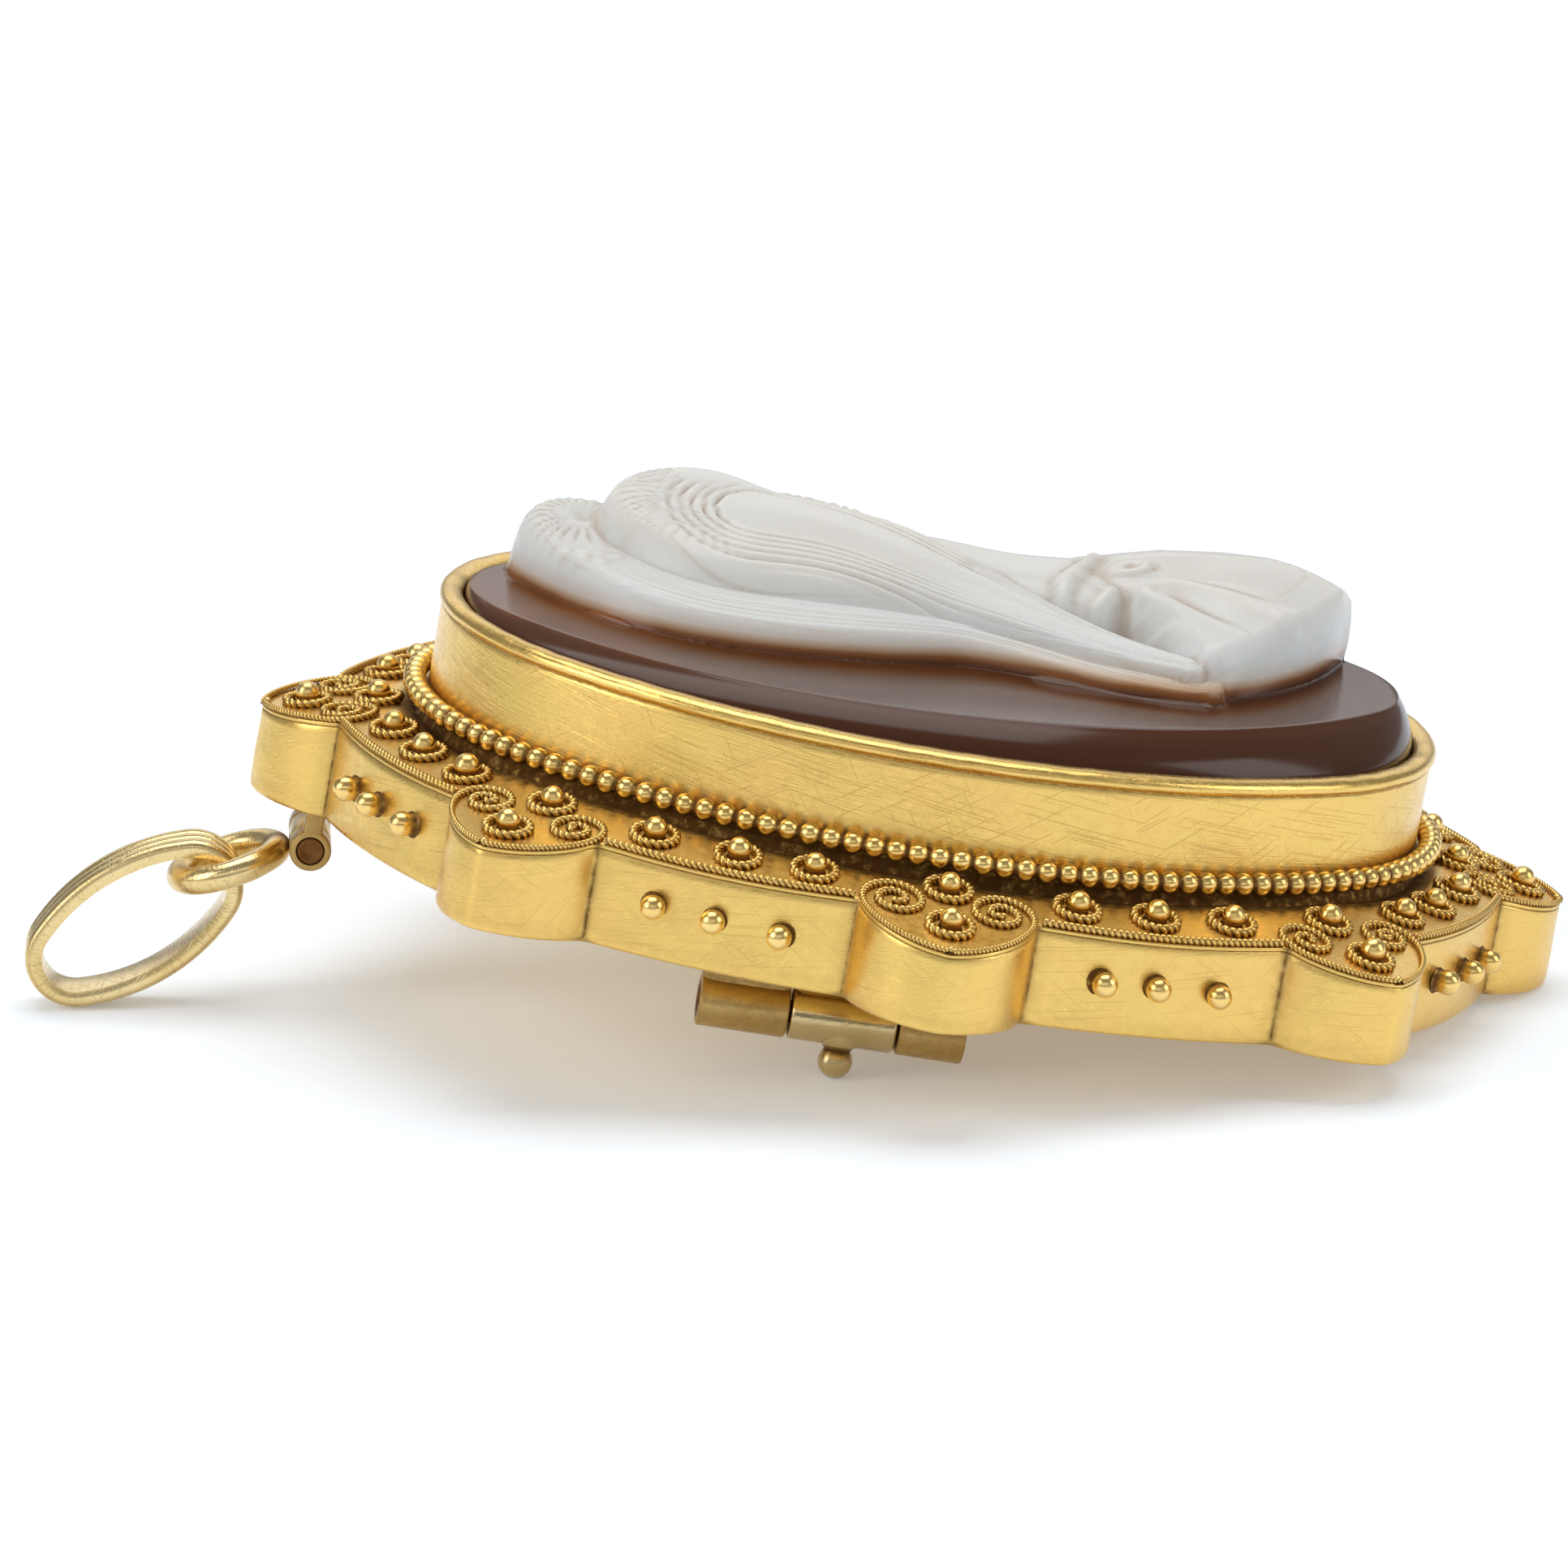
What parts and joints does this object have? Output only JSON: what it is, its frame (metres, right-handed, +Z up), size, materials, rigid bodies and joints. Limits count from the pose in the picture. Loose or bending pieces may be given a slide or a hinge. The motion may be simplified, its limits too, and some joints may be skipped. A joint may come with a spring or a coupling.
{
  "type": "cameo pendant",
  "caption": "Carved agate cameo in a tall oval gold bezel on a lobed gold case with wire circles and balls; worn on a chain by its oval link or as a brooch.",
  "frame": {"origin": "on the table the jewel lies on, under the middle of its whole box", "axes": "+X from the bail towards the foot lobe, +Y across the jewel away from the viewer, +Z up off the table"},
  "size_m": [0.07, 0.0498, 0.0232],
  "materials": {
    "gold": "satin yellow gold with fine scratches",
    "pale_gold": "polished paler gold",
    "agate": "polished, white carving on a brown field"
  },
  "bodies": {
    "jewel": {"case": "gold", "bezel": "gold", "cameo": "agate", "bail_rivet": "gold", "pin_rivet": "gold"},
    "bail": {"bail_ring": "pale_gold", "bail_link": "pale_gold"},
    "pin": {"brooch_pin": "pale_gold"}
  },
  "joints": [
    {"name": "bail_hinge", "type": "hinge", "parent": "jewel", "child": "bail", "pos_m": [-0.02204, 0, 0.00766], "axis": [0, -1, 0], "range_deg": [-35, 105]},
    {"name": "pin_hinge", "type": "hinge", "parent": "jewel", "child": "pin", "pos_m": [0.00136, -0.0139, 0.0027], "axis": [-0.9857, 0, 0.1685], "range_deg": [0, 100]}
  ]
}
